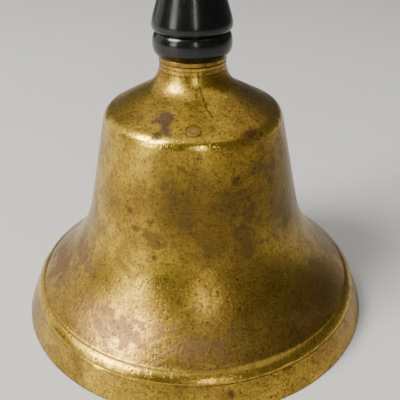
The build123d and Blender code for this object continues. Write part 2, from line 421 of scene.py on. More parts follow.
def pit_group():
    """Scattered round pits of uneven size: 1 inside a pit, 0 between them."""
    tree, takes, gives = group(
        "Pits",
        [("Place", "vector", None), ("Spacing mm", "value", 2.0), ("Share", "value", 0.3),
         ("Reach", "value", 0.3)],
        [("Mask", "value")],
    )
    scale = maths(tree, "DIVIDE", 1 / MM, takes["Spacing mm"])
    ragged = add(
        tree, "ShaderNodeTexNoise",
        {"Vector": takes["Place"], "Scale": times(tree, scale, 1.7), "Detail": 2.0},
    ).outputs["Color"]
    jitter = add(
        tree, "ShaderNodeVectorMath", {0: ragged, "Scale": 0.0006}, operation="SCALE",
    ).outputs[0]
    place = add(tree, "ShaderNodeVectorMath", {0: takes["Place"], 1: jitter}, operation="ADD").outputs[0]
    cells = add(tree, "ShaderNodeTexVoronoi", {"Vector": place, "Scale": scale})
    chance = add(tree, "ShaderNodeSeparateColor", {0: cells.outputs["Color"]}).outputs
    picked = maths(tree, "LESS_THAN", chance[0], takes["Share"])
    reach = times(tree, takes["Reach"], plus(tree, chance[1], 0.35))
    inside = ramp(tree, cells.outputs["Distance"], reach, times(tree, reach, 0.35))
    tree.links.new(times(tree, picked, inside), gives["Mask"])
    return tree


def spot_group():
    """A soft, ragged stain at one place on a round body, given by degrees and height."""
    tree, takes, gives = group(
        "Stain",
        [("Place", "vector", None), ("Degrees", "value", 0.0), ("Up", "value", 0.0),
         ("At degrees", "value", 0.0), ("At mm", "value", 0.0),
         ("Half width", "value", 5.0), ("Half height", "value", 5.0), ("Ragged", "value", 0.5),
         ("Soft", "value", 0.5), ("Lean", "value", 0.0)],
        [("Mask", "value")],
    )
    up = minus(tree, takes["Up"], takes["At mm"])
    side = minus(tree, takes["Degrees"], takes["At degrees"])
    side = plus(tree, side, times(tree, up, takes["Lean"]))
    wide = maths(tree, "ABSOLUTE", maths(tree, "DIVIDE", side, takes["Half width"]))
    tall = maths(tree, "ABSOLUTE", maths(tree, "DIVIDE", up, takes["Half height"]))
    away = plus(tree, maths(tree, "POWER", wide, 2.0), maths(tree, "POWER", tall, 2.0))
    away = maths(tree, "SQRT", away)
    edge = add(
        tree, "ShaderNodeTexNoise", {"Vector": takes["Place"], "Scale": 260.0, "Detail": 5.0},
    ).outputs["Fac"]
    edge = times(tree, minus(tree, edge, 0.5), times(tree, takes["Ragged"], 4.0))
    away = plus(tree, away, edge)
    inner = minus(tree, 1.0, takes["Soft"])
    tree.links.new(ramp(tree, away, 1.0, inner), gives["Mask"])
    return tree


def band_group():
    """A soft band round a value, for the worn edges of turned work."""
    tree, takes, gives = group(
        "Worn band",
        [("Value", "value", 0.0), ("Middle", "value", 0.0), ("Half", "value", 1.0)],
        [("Mask", "value")],
    )
    away = maths(tree, "ABSOLUTE", minus(tree, takes["Value"], takes["Middle"]))
    tree.links.new(ramp(tree, away, takes["Half"], 0.0), gives["Mask"])
    return tree


GROUPS = {}


def shared(name):
    """The shared node groups, each built once."""
    if not GROUPS:
        GROUPS["around"] = around_group()
        GROUPS["cloud"] = cloud_group()
        GROUPS["turned"] = turned_group(GROUPS["around"])
        GROUPS["pit"] = pit_group()
        GROUPS["spot"] = spot_group()
        GROUPS["band"] = band_group()
    return GROUPS[name]


def blank(name):
    """A new material with a Principled shader, its tree and its object coordinates."""
    made = bpy.data.materials.new(name)
    made.use_nodes = True
    tree = made.node_tree
    tree.nodes.clear()
    shader = tree.nodes.new("ShaderNodeBsdfPrincipled")
    output = tree.nodes.new("ShaderNodeOutputMaterial")
    tree.links.new(shader.outputs[0], output.inputs["Surface"])
    place = tree.nodes.new("ShaderNodeTexCoord").outputs["Object"]
    return made, tree, shader, place


def bump(tree, shader, height, distance, strength=1.0):
    """Feeds a height, in units of distance metres, to the shader's normal."""
    made = add(tree, "ShaderNodeBump", {"Height": height, "Distance": distance, "Strength": strength})
    fill(shader, {"Normal": made.outputs[0]})


# Stains on the outside of the bell, each: degrees from the front (right positive), height in mm,
# half width in degrees, half height in mm, raggedness, softness, strength, lean
DARK_STAINS = (
    (-23.0, 89.3, 5.4, 1.6, 0.3, 0.6, 0.92, 0.0),    # dark end of the grey crown stain
    (1.0, 77.2, 0.9, 0.9, 0.2, 0.7, 0.85, 0.0),
    (0.4, 73.3, 1.0, 1.1, 0.2, 0.7, 0.90, 0.0),
    (22.5, 74.3, 3.4, 2.4, 0.4, 0.8, 0.65, 0.0),
    (-36.0, 61.1, 2.6, 1.8, 0.3, 0.7, 0.75, 0.0),
    (-30.9, 55.1, 3.4, 2.0, 0.4, 0.7, 0.70, 0.0),
    (-41.3, 52.0, 1.6, 1.2, 0.3, 0.7, 0.55, 0.0),
    (-19.9, 45.8, 1.8, 1.4, 0.3, 0.7, 0.80, 0.0),
    (-14.8, 51.3, 3.2, 2.4, 0.5, 0.8, 0.60, 0.0),
    (-24.0, 58.5, 2.6, 1.8, 0.4, 0.8, 0.40, 0.0),
    (29.8, 59.9, 9.0, 7.0, 0.8, 0.9, 0.45, 0.0),
    (48.0, 33.0, 8.0, 4.5, 0.8, 0.9, 0.35, 0.0),
    (10.0, 6.4, 1.3, 2.2, 0.2, 0.6, 0.85, 0.0),       # notch in the lip band
    (-16.5, 12.9, 1.2, 1.0, 0.2, 0.7, 0.70, 0.0),
)
RED_STAINS = (
    (36.5, 88.9, 6.2, 1.8, 0.7, 0.7, 0.95, 0.0),      # corroded spot at the right of the shoulder
    (44.5, 87.5, 2.4, 1.0, 0.5, 0.6, 0.80, 0.0),
    (-21.0, 46.0, 4.0, 2.4, 0.6, 0.8, 0.45, 0.0),
)
GREEN_STAINS = (
    (-13.0, 70.0, 13.0, 6.5, 0.8, 0.8, 0.85, 0.0),
    (-5.0, 62.0, 10.0, 6.0, 0.8, 0.8, 0.85, 0.0),
    (-22.0, 54.0, 9.0, 5.0, 0.8, 0.8, 0.70, 0.0),
    (4.0, 76.0, 11.0, 5.0, 0.9, 0.9, 0.45, 0.0),
    (20.0, 66.0, 13.0, 9.0, 0.8, 0.8, 0.75, 0.0),
    (26.0, 50.0, 14.0, 9.0, 0.8, 0.9, 0.75, 0.0),
    (8.0, 48.0, 10.0, 6.0, 0.9, 0.9, 0.55, 0.0),
    (44.0, 74.0, 12.0, 9.0, 0.8, 0.9, 0.65, 0.0),
    (52.0, 55.0, 14.0, 12.0, 0.8, 0.9, 0.60, 0.0),
)
GREY_STAINS = (
    (-24.0, 93.2, 13.0, 2.1, 0.30, 0.6, 0.98, 0.0),
    (-19.0, 91.2, 5.2, 2.8, 0.30, 0.6, 0.95, 2.0),
    (-46.0, 92.5, 9.0, 1.6, 0.6, 0.9, 0.45, 0.0),
)
BLOOM_STAINS = (
    (-30.0, 21.0, 36.0, 7.5, 0.7, 0.9, 0.90, 0.0),
    (-2.0, 20.0, 22.0, 5.0, 0.7, 0.9, 0.70, 0.0),
    (-66.0, 31.0, 18.0, 9.0, 0.6, 0.8, 0.85, 0.0),
    (-78.0, 22.0, 22.0, 8.0, 0.6, 0.8, 0.90, 0.0),
    (44.0, 19.0, 14.0, 3.5, 0.7, 0.9, 0.45, 0.0),
)
# The hairline crack from the neck down the crown: degrees, height, half width, half height, lean
CRACK = (
    (8.6, 104.4, 2.0, 2.6, 0.2),
    (10.6, 100.2, 1.3, 2.2, 0.9),
    (12.0, 97.6, 1.8, 0.6, 0.0),
    (12.8, 96.3, 1.3, 0.9, 0.6),
    (14.8, 94.4, 1.0, 1.8, 1.7),
)


def stained(tree, spot, place, stains, colour_under, colour_over):
    """Lays a list of stains over a colour, and returns the colour and the stains' joint mask."""
    joint = 0.0
    for degrees, height, half_width, half_height, ragged, soft, strength, lean in stains:
        mask = use(
            tree, shared("spot"), Place=place, Degrees=spot["Degrees"], Up=spot["Up"],
            At_degrees=degrees, At_mm=height, Half_width=half_width, Half_height=half_height,
            Ragged=ragged, Soft=soft, Lean=lean,
        )["Mask"]
        joint = larger(tree, joint, times(tree, mask, strength))
    return blend(tree, joint, colour_under, colour_over), joint


SMOKE = (0.135, 0.095, 0.024, 1.0)
# Colour of the painted shade on the waist, darker from the front round to the right.
WAIST_PAINTED_SHADE = (0.110, 0.068, 0.016, 1.0)
GREEN_TARNISH = (0.105, 0.068, 0.018, 1.0)
GREY_TARNISH = (0.115, 0.070, 0.040, 1.0)
RED_RUST = (0.15, 0.050, 0.024, 1.0)
NECK_LINES = (106.3, 104.6)


def clouded(tree, place, spot, colours):
    """Clean brass under clouds of tarnish, with painted shade in the tarnish colour towards the bell's
    right side, and the masks of its broad and small patches.
    """
    cloud = shared("cloud")
    broad = use(tree, cloud, Place=place, Size_mm=34.0, Low=0.38, High=0.66, Detail=7.0, Warp=0.4)["Mask"]
    patchy = use(tree, cloud, Place=place, Size_mm=9.0, Low=0.46, High=0.68, Detail=8.0, Warp=0.6)["Mask"]
    smoke = use(tree, cloud, Place=place, Size_mm=17.0, Low=0.44, High=0.62, Detail=9.0, Warp=1.2)["Mask"]
    # Painted shade: the tarnish colour laid more heavily towards the bell's right side.
    right = ramp(tree, spot["Degrees"], 0.0, 50.0)
    tarnish = rgba(colours.tarnish)
    tone = lay(tree, rgba(colours.brass), tarnish, broad, 0.60)
    tone = lay(tree, tone, tarnish, patchy, 0.50)
    tone = lay(tree, tone, SMOKE, smoke, 0.40)
    tone = lay(tree, tone, tarnish, right, 0.30)
    return tone, broad, patchy


def bloomed_and_stained(tree, place, spot, colours, tone):
    """Bloom, green and grey stains and painted shade on the waist over a tone, with the stains' mask."""
    bloom = rgba(colours.bloom)
    low_flare = use(tree, shared("band"), Value=spot["Up"], Middle=17.0, Half=22.0)["Mask"]
    tone = lay(tree, tone, bloom, low_flare, 0.35)
    tone, bloomed = stained(tree, spot, place, BLOOM_STAINS, tone, bloom)
    tone, greened = stained(tree, spot, place, GREEN_STAINS, tone, GREEN_TARNISH)
    tone, greyed = stained(tree, spot, place, GREY_STAINS, tone, GREY_TARNISH)
    # Painted shade: the waist darkened more and more from the left front, fully from the front round to the
    # right.
    waist = use(tree, shared("band"), Value=spot["Up"], Middle=60.0, Half=36.0)["Mask"]
    painted_shade_waist = times(tree, waist, ramp(tree, spot["Degrees"], -62.0, 14.0))
    tone = lay(tree, tone, WAIST_PAINTED_SHADE, painted_shade_waist, 0.84)
    return tone, larger(tree, bloomed, larger(tree, greened, greyed))


def speckled(tree, place, colours, tone, lines):
    """Grime, freckles, grain and the lathe's lines over a tone, with grime's and freckles' masks."""
    cloud = shared("cloud")
    stain = rgba(colours.stain)
    grime = use(tree, cloud, Place=place, Size_mm=4.0, Low=0.52, High=0.74, Detail=8.0, Warp=1.0)["Mask"]
    freckle = use(tree, cloud, Place=place, Size_mm=1.6, Low=0.50, High=0.70, Detail=4.0)["Mask"]
    grain = use(tree, cloud, Place=place, Size_mm=0.9, Low=0.46, High=0.62, Detail=3.0)["Mask"]
    tone = lay(tree, tone, stain, grime, 0.46)
    tone = lay(tree, tone, stain, freckle, 0.42)
    tone = lay(tree, tone, stain, grain, 0.45)
    tone = lay(tree, tone, rgba(colours.tarnish), ramp(tree, lines, 0.44, 0.58), 0.22)
    return tone, grime, freckle


def marked(tree, place, up, colours, tone):
    """The plug's dark joint and the neck's turned lines over a tone."""
    stain = rgba(colours.stain)
    away = add(
        tree, "ShaderNodeVectorMath", {0: place, 1: plug_centre()}, operation="DISTANCE",
    ).outputs["Value"]
    joint = use(tree, shared("band"), Value=away, Middle=2.55 * MM, Half=0.75 * MM)["Mask"]
    tone = lay(tree, tone, stain, joint, 0.60)
    for height in NECK_LINES:
        turned_line = use(tree, shared("band"), Value=up, Middle=height, Half=0.55)["Mask"]
        tone = lay(tree, tone, stain, turned_line, 0.6)
    return tone


def rubbed_edges(tree, up, patchy):
    """Where hands and cloths keep the brass bright: the shoulder and the ridge, broken by patches."""
    shoulder = use(tree, shared("band"), Value=up, Middle=87.5, Half=2.6)["Mask"]
    ridge = use(tree, shared("band"), Value=up, Middle=12.4, Half=2.3)["Mask"]
    rubbed = larger(tree, shoulder, times(tree, ridge, 0.8))
    return times(tree, rubbed, minus(tree, 1.0, times(tree, patchy, 0.7)))


def crack_line(tree, place, spot):
    """The mask of the hairline crack."""
    crack = 0.0
    for degrees, height, half_width, half_height, lean in CRACK:
        mask = use(
            tree, shared("spot"), Place=place, Degrees=spot["Degrees"], Up=spot["Up"],
            At_degrees=degrees, At_mm=height, Half_width=half_width, Half_height=half_height,
            Ragged=0.12, Soft=0.5, Lean=lean,
        )["Mask"]
        crack = larger(tree, crack, mask)
    return crack


def shaded_foot_and_groove(tree, up):
    """The mask of painted shade at the lip's foot, where it meets the floor, and in the band's groove."""
    foot = use(tree, shared("band"), Value=up, Middle=0.0, Half=1.2)["Mask"]
    groove = use(tree, shared("band"), Value=up, Middle=10.35, Half=0.6)["Mask"]
    return larger(tree, times(tree, foot, 0.7), times(tree, groove, 0.45))


def aged_brass(colours):
    """The bell's outside: worn gold brass under clouds of tarnish, bloom, stains and pits, with painted
    shade on its right side, its waist, the lip's foot and the band's groove.
    """
    made, tree, shader, place = blank("bell_brass_outside")
    spot = use(tree, shared("around"), Place=place)
    up = spot["Up"]
    stain = rgba(colours.stain)
    lines = use(tree, shared("turned"), Place=place, Pitch_mm=0.55, Broken=0.45)["Lines"]
    fine = use(tree, shared("pit"), Place=place, Spacing_mm=1.3, Share=0.42, Reach=0.42)["Mask"]
    coarse = use(tree, shared("pit"), Place=place, Spacing_mm=4.2, Share=0.34, Reach=0.19)["Mask"]
    holes = times(tree, coarse, 0.7)

    tone, broad, patchy = clouded(tree, place, spot, colours)
    tone, dull = bloomed_and_stained(tree, place, spot, colours, tone)
    tone, grime, freckle = speckled(tree, place, colours, tone, lines)
    tone = marked(tree, place, up, colours, tone)
    rubbed = rubbed_edges(tree, up, patchy)
    tone = lay(tree, tone, rgba(colours.brass), rubbed, 0.85)
    tone, darkened = stained(tree, spot, place, DARK_STAINS, tone, stain)
    tone, rusted = stained(tree, spot, place, RED_STAINS, tone, RED_RUST)
    broken = larger(tree, crack_line(tree, place, spot), holes)
    tone = lay(tree, tone, stain, broken, 0.9)
    tone = lay(tree, tone, stain, fine, 0.62)
    # Painted shade: stain colour laid at the lip's foot and in the band's groove.
    tone = lay(tree, tone, stain, shaded_foot_and_groove(tree, up))

    dull = larger(tree, dull, larger(tree, larger(tree, darkened, rusted), broken))
    rough = plus(tree, 0.285, times(tree, broad, 0.05))
    rough = plus(tree, rough, times(tree, patchy, 0.06))
    rough = plus(tree, rough, times(tree, dull, 0.16))
    rough = minus(tree, rough, times(tree, rubbed, 0.13), clamp=True)
    metal = minus(tree, 1.0, times(tree, larger(tree, dull, grime), 0.16))
    fill(shader, {"Base Color": tone, "Roughness": rough, "Metallic": metal})

    height = times(tree, lines, 0.5)
    height = minus(tree, height, times(tree, fine, 0.7))
    height = minus(tree, height, times(tree, holes, 1.2))
    height = minus(tree, height, times(tree, freckle, 0.6))
    height = plus(tree, height, times(tree, patchy, 0.2))
    bump(tree, shader, height, 0.06 * MM)
    return made


def cast_brass(colours):
    """The bell's inside: duller, browner brass with coarse turning marks."""
    made, tree, shader, place = blank("bell_brass_inside")
    broad = use(tree, shared("cloud"), Place=place, Size_mm=22.0, Low=0.35, High=0.65, Warp=0.5)["Mask"]
    lines = use(tree, shared("turned"), Place=place, Pitch_mm=1.1, Broken=0.2)["Lines"]
    pits = use(tree, shared("pit"), Place=place, Spacing_mm=2.6, Share=0.3, Reach=0.25)["Mask"]
    tone = blend(tree, broad, rgba(colours.tarnish), (0.16, 0.10, 0.04, 1.0))
    tone = blend(tree, ramp(tree, lines, 0.5, 0.7), tone, rgba(colours.bloom))
    tone = lay(tree, tone, rgba(colours.stain), pits, 0.7)
    rough = plus(tree, 0.42, times(tree, broad, 0.15))
    fill(shader, {"Base Color": tone, "Roughness": rough, "Metallic": 0.9})
    bump(tree, shader, minus(tree, times(tree, lines, 1.6), pits), 0.1 * MM)
    return made


def turned_brass(name, tone_high, tone_low, roughness):
    """Small brass fittings: turned, handled, dark in the hollows."""
    made, tree, shader, place = blank(name)
    patches = use(tree, shared("cloud"), Place=place, Size_mm=4.0, Low=0.4, High=0.68, Warp=0.5)["Mask"]
    lines = use(tree, shared("turned"), Place=place, Pitch_mm=0.35, Broken=0.3)["Lines"]
    pits = use(tree, shared("pit"), Place=place, Spacing_mm=1.1, Share=0.25, Reach=0.25)["Mask"]
    tone = blend(tree, patches, tone_high, tone_low)
    tone = lay(tree, tone, (0.06, 0.04, 0.02, 1.0), pits, 0.6)
    rough = plus(tree, roughness, times(tree, patches, 0.14))
    fill(shader, {"Base Color": tone, "Roughness": rough, "Metallic": 1.0})
    bump(tree, shader, minus(tree, lines, pits), 0.04 * MM)
    return made


def ebonised_wood(colours):
    """Black stained and polished wood: faint grain, turning rings, rubbed patches and specks of dust."""
    made, tree, shader, place = blank("ebonised_wood_polished")
    grain_place = add(
        tree, "ShaderNodeMapping", {"Vector": place, "Scale": (1.0, 1.0, 0.06)},
    ).outputs[0]
    grain = add(
        tree, "ShaderNodeTexNoise",
        {"Vector": grain_place, "Scale": 900.0, "Detail": 5.0, "Roughness": 0.65},
    ).outputs["Fac"]
    rings = use(tree, shared("turned"), Place=place, Pitch_mm=0.9, Broken=0.3)["Lines"]
    handled = use(tree, shared("cloud"), Place=place, Size_mm=14.0, Low=0.42, High=0.66, Warp=0.4)["Mask"]
    dust = use(tree, shared("pit"), Place=place, Spacing_mm=1.7, Share=0.10, Reach=0.12)["Mask"]
    brown = ramp(tree, grain, 0.56, 0.72)
    tone = lay(tree, rgba(colours.wood), (0.030, 0.021, 0.014, 1.0), brown, 0.6)
    tone = lay(tree, tone, (0.16, 0.15, 0.13, 1.0), dust, 0.35)
    rough = plus(tree, 0.20, times(tree, handled, 0.09))
    rough = plus(tree, rough, times(tree, dust, 0.3))
    fill(shader, {
        "Base Color": tone, "Roughness": rough, "Specular IOR Level": 0.36, "Coat Weight": 0.12,
        "Coat Roughness": 0.12, "Coat Tint": (0.86, 1.0, 0.82, 1.0),
    })
    bump(tree, shader, plus(tree, times(tree, grain, 0.5), times(tree, rings, 0.6)), 0.05 * MM)
    return made


def forged_metal(name, bright, dark, rust, roughness, metallic):
    """Steel and iron: dull skin, brown in patches, hammered and pitted."""
    made, tree, shader, place = blank(name)
    skin = use(tree, shared("cloud"), Place=place, Size_mm=6.0, Low=0.38, High=0.66, Warp=0.6)["Mask"]
    brown = use(tree, shared("cloud"), Place=place, Size_mm=3.0, Low=0.54, High=0.70, Detail=8.0)["Mask"]
    dents = use(tree, shared("cloud"), Place=place, Size_mm=2.2, Low=0.30, High=0.75, Detail=3.0)["Mask"]
    pits = use(tree, shared("pit"), Place=place, Spacing_mm=1.0, Share=0.3, Reach=0.28)["Mask"]
    tone = blend(tree, skin, bright, dark)
    tone = lay(tree, tone, rust, brown, 0.7)
    tone = lay(tree, tone, (0.02, 0.015, 0.01, 1.0), pits, 0.6)
    rough = plus(tree, roughness, times(tree, brown, 0.3))
    metal = minus(tree, metallic, times(tree, brown, 0.5), clamp=True)
    fill(shader, {"Base Color": tone, "Roughness": rough, "Metallic": metal})
    bump(tree, shader, minus(tree, dents, times(tree, pits, 0.6)), 0.12 * MM)
    return made


def washer_leather():
    """Greased brown leather, creased, in darker and lighter patches."""
    made, tree, shader, place = blank("washer_leather_greased")
    patches = use(tree, shared("cloud"), Place=place, Size_mm=5.0, Low=0.35, High=0.7)["Mask"]
    cells = add(tree, "ShaderNodeTexVoronoi", {"Vector": place, "Scale": 1400.0}).outputs["Distance"]
    tone = blend(tree, patches, (0.17, 0.09, 0.045, 1.0), (0.07, 0.035, 0.018, 1.0))
    rough = plus(tree, 0.55, times(tree, patches, 0.2))
    fill(shader, {"Base Color": tone, "Roughness": rough})
    bump(tree, shader, cells, 0.1 * MM)
    return made


# ---------------------------------------------------------------------------
# Pieces
# ---------------------------------------------------------------------------

WALL = 3.2 * MM
CROWN_WALL = 4.2 * MM
LIP_WALL = 5 * MM
FLARE_CLIMB = radians(47)
FLARE_LOW_PULL = 12.5 * MM
FLARE_HIGH_PULL = 21.5 * MM
RIDGE_PULL = 1.1 * MM
GROOVE_WIDTH = 0.7 * MM
LIP_EDGE = 0.5 * MM
NECK_EDGE = 0.3 * MM
CROWN_SEAT = 12.5 * MM


def bell_corners(sizes):
    """The corners that the bell's outer and inner sections share."""
    flare_foot = (sizes.band_top - 3.5 * MM, sizes.band_height + GROOVE_WIDTH + 3.4 * MM)
    waist_foot = (sizes.waist_foot, sizes.waist_foot_height)
    neck_root = (sizes.neck, sizes.neck_top - sizes.neck_length)
    shoulder = (sizes.shoulder, neck_root[1] - sizes.crown_rise)
    return flare_foot, waist_foot, shoulder, neck_root


def ridge_outline(start, end):
    """The ridge's rounded back, after its start."""
    along = pulled((0, 0), (end[0] - start[0], end[1] - start[1]), 1)
    rise = (along[0] * 0.8 + along[1] * 0.6, along[1] * 0.8 - along[0] * 0.6)
    fall = (along[0] * 0.8 - along[1] * 0.6, along[1] * 0.8 + along[0] * 0.6)
    return curve(start, pulled(start, rise, RIDGE_PULL), pulled(end, fall, -RIDGE_PULL), end, 14)


def outer_outline(sizes):
    """The bell's outer section, from the lip up to the bore."""
    flare_foot, waist_foot, shoulder, neck_root = bell_corners(sizes)
    flare_direction = (-cos(FLARE_CLIMB), sin(FLARE_CLIMB))
    waist_direction = (shoulder[0] - waist_foot[0], shoulder[1] - waist_foot[1])
    band_top = (sizes.band_top, sizes.band_height)
    groove_top = (sizes.band_top, sizes.band_height + GROOVE_WIDTH)
    neck_end = (sizes.neck, sizes.neck_top - NECK_EDGE)
    outer = [(sizes.mouth - LIP_WALL, 0), (sizes.mouth - LIP_EDGE, 0)]
    outer += rounded(outer[-1], (sizes.mouth, 0), band_top, 0.35 * MM, 4)
    outer += straight(outer[-1], band_top, 10)
    outer += arc((sizes.band_top, sizes.band_height + GROOVE_WIDTH / 2), GROOVE_WIDTH / 2, 270, 90, 8)[1:]
    outer += ridge_outline(groove_top, flare_foot)
    outer += curve(
        flare_foot, pulled(flare_foot, flare_direction, FLARE_LOW_PULL),
        pulled(waist_foot, waist_direction, -FLARE_HIGH_PULL), waist_foot, 40,
    )
    round_shoulder = rounded(waist_foot, shoulder, neck_root, 6.5 * MM, 14)
    outer += straight(waist_foot, round_shoulder[0], 30)[:-1] + round_shoulder
    round_crown = rounded(shoulder, neck_root, neck_end, 11.2 * MM, 16)
    outer += straight(round_shoulder[-1], round_crown[0], 14)[:-1] + round_crown
    return outer + [neck_end, (sizes.neck - NECK_EDGE, sizes.neck_top), (RING_BORE, sizes.neck_top)]


def inner_outline(sizes):
    """The bell's inner section, from the bore down to the lip."""
    flare_foot, waist_foot, shoulder, neck_root = bell_corners(sizes)
    flare_direction = (-cos(FLARE_CLIMB), sin(FLARE_CLIMB))
    waist_direction = (shoulder[0] - waist_foot[0], shoulder[1] - waist_foot[1])
    inner_waist = shifted(waist_foot, shoulder, WALL)
    inner_crown = shifted(shoulder, neck_root, CROWN_WALL)
    inner_shoulder = meeting(inner_waist, inner_crown)
    crown_seat = meeting(inner_crown, ((CROWN_SEAT, 0), (CROWN_SEAT, 1)))
    inner_foot = meeting(inner_waist, ((0, waist_foot[1]), (1, waist_foot[1])))
    bow = pulled(flare_foot, (-flare_direction[1], flare_direction[0]), LIP_WALL)
    round_inner = rounded(crown_seat, inner_shoulder, inner_foot, 4 * MM, 8)
    inner = [(RING_BORE, crown_seat[1]), crown_seat]
    inner += straight(crown_seat, round_inner[0], 10)[:-1] + round_inner
    inner += straight(round_inner[-1], inner_foot, 16)
    inner += curve(
        inner_foot, pulled(inner_foot, waist_direction, -FLARE_HIGH_PULL),
        pulled(bow, flare_direction, FLARE_LOW_PULL), bow, 24,
    )
    return inner + straight(bow, (sizes.mouth - LIP_WALL, 0), 4)[:-1]


# Knocks in the lip band and the ridge: degrees from the front, height in mm, reach and depth in mm
KNOCKS = (
    (10.0, 7.0, 1.8, 0.55), (-31.0, 10.4, 2.6, 0.30), (28.0, 10.2, 2.0, 0.28), (-58.0, 4.5, 2.2, 0.22),
    (-8.0, 1.2, 1.8, 0.35), (52.0, 2.4, 2.4, 0.30), (75.0, 10.0, 2.4, 0.35), (-84.0, 1.0, 2.0, 0.40),
    (124.0, 9.6, 2.8, 0.40), (158.0, 3.0, 2.2, 0.30), (-140.0, 10.0, 2.6, 0.35), (-112.0, 1.4, 2.4, 0.35),
)


def wear_bell(shape, sizes, outside_height):
    """Presses worn unevenness and knocks into the bell's outside, always inwards."""
    knock_places = []
    for degrees, height, reach, depth in KNOCKS:
        radius = sizes.mouth - (sizes.mouth - sizes.band_top) * min(1, height * MM / sizes.band_height)
        turn = radians(degrees)
        spot = Vector((radius * sin(turn), -radius * cos(turn), height * MM))
        knock_places.append((spot, reach * MM, depth * MM))
    for vert in shape.verts:
        out = Vector((vert.co.x, vert.co.y, 0))
        if out.length < sizes.neck * 0.9 or not outside_height(vert):
            continue
        slow = noise.noise(vert.co * 38) * 0.6 + noise.noise(vert.co * 95 + Vector((7, 3, 1))) * 0.4
        press = sizes.dents * (0.5 + 0.5 * slow)
        for spot, reach, depth in knock_places:
            away = (vert.co - spot).length / reach
            if away < 1:
                press += depth * (1 - away * away) ** 2
        vert.co -= out.normalized() * press


def make_bell(sizes, colours):
    """The casting: turned section, worn outside, rougher inside."""
    outer = outer_outline(sizes)
    shape = lathe(outer + inner_outline(sizes), 288)
    outer_radii = sorted((height, radius) for radius, height in outer[2:-2])

    def outside(vert):
        """Whether a point lies on the outer surface at its height."""
        radius = hypot(vert.co.x, vert.co.y)
        for (low, first), (high, second) in zip(outer_radii, outer_radii[1:]):
            if low <= vert.co.z <= high:
                return radius > min(first, second) - 0.3 * MM
        return False

    chosen = {vert for vert in shape.verts if outside(vert)}
    wear_bell(shape, sizes, lambda vert: vert in chosen)
    for face in shape.faces:
        face.material_index = 0 if any(vert in chosen for vert in face.verts) else 1
    return piece(
        "bell_body", shape, [aged_brass(colours), cast_brass(colours)],
        "bell", "bell_casting", sharp=50,
    )


def plug_slope():
    """The crown's slope, from the shoulder corner to the neck."""
    return atan2(CROWN_RISE, SHOULDER_RADIUS - NECK_RADIUS)


def plug_centre():
    """The middle of the plug's face, on the crown."""
    low, high = (Vector(corner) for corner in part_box("crown_plug"))
    normal = Matrix.Rotation(plug_slope(), 4, "X") @ Vector((0, 0, 1))
    return tuple((low + high) / 2 + normal * 2.1 * MM)


def make_plug():
    """The round plug in the crown: a flush disc with a centre mark."""
    radius = 2.36 * MM
    depth = 3.8 * MM
    edge = 0.18 * MM
    outline = [(0, -depth), (radius, -depth), (radius, -0.20 * MM)]
    outline += arc((radius - edge, -0.19 * MM), edge, 0, 90, 5)
    outline += [(1.0 * MM, -0.01 * MM), (0.62 * MM, -0.05 * MM), (0.25 * MM, -0.26 * MM), (0, -0.30 * MM)]
    shape = lathe(outline, 48, closed=False)
    place = Matrix.Translation(plug_centre()) @ Matrix.Rotation(plug_slope(), 4, "X")
    bmesh.ops.transform(shape, matrix=place, verts=shape.verts[:])
    material = turned_brass("plug_brass_dull", (0.40, 0.27, 0.070, 1.0), (0.22, 0.140, 0.045, 1.0), 0.36)
    return piece("crown_plug_disc", shape, [material], "bell", "crown_plug", sharp=40)


def ring_outline(node, bore, edge):
    """A flat ring's section from a frame node's box, with softened edges."""
    low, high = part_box(node)
    outer = high[0]
    base = low[2]
    top = high[2]
    outline = [(bore, base), (outer - edge, base)]
    outline += arc((outer - edge, base + edge), edge, -90, 0, 4)[1:]
    outline += arc((outer - edge, top - edge), edge, 0, 90, 4)
    outline += [(bore, top)]
    return outline


def make_grip(sizes, colours):
    """The turned wooden grip: fat bead, groove, second bead, slim waist and palm swelling."""
    low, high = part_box("handle_grip")
    foot, top = low[2], high[2]
    bead_top = (sizes.groove, foot + sizes.bead_height)
    bulb_foot = (sizes.groove, bead_top[1] + 0.8 * MM)
    bulb_peak = (sizes.bulb, bulb_foot[1] + 2 * MM)
    waist = (sizes.waist, foot + 40 * MM)
    swell = (sizes.swell, foot + 86 * MM)
    end = (sizes.top, top)
    up = (0, 1)
    outline = [(GRIP_BORE, foot), (sizes.foot, foot)]
    outline += curve(
        (sizes.foot, foot), (sizes.foot + 1.6 * MM, foot + 1.2 * MM),
        (sizes.bead, foot + 2.2 * MM), (sizes.bead, foot + 4.6 * MM), 10,
    )
    outline += curve(
        outline[-1], (sizes.bead, foot + 6.4 * MM), (sizes.groove + 0.6 * MM, foot + 7.7 * MM),
        bead_top, 10,
    )
    outline += [(sizes.groove - 0.35 * MM, bead_top[1] + 0.4 * MM), bulb_foot]
    outline += curve(
        bulb_foot, (sizes.groove + 0.75 * MM, bulb_foot[1] + 0.2 * MM), pulled(bulb_peak, up, -0.9 * MM),
        bulb_peak, 8,
    )
    outline += curve(bulb_peak, pulled(bulb_peak, up, 4 * MM), pulled(waist, up, -14 * MM), waist, 26)
    outline += curve(waist, pulled(waist, up, 20 * MM), pulled(swell, up, -20 * MM), swell, 30)
    outline += curve(swell, pulled(swell, up, 26 * MM), (sizes.top + 4.6 * MM, top), end, 30)
    outline += [(GRIP_BORE, top)]
    shape = lathe(outline, 192)
    return piece(
        "grip_turned", shape, [ebonised_wood(colours)], "bell", "handle_grip", sharp=40,
    )


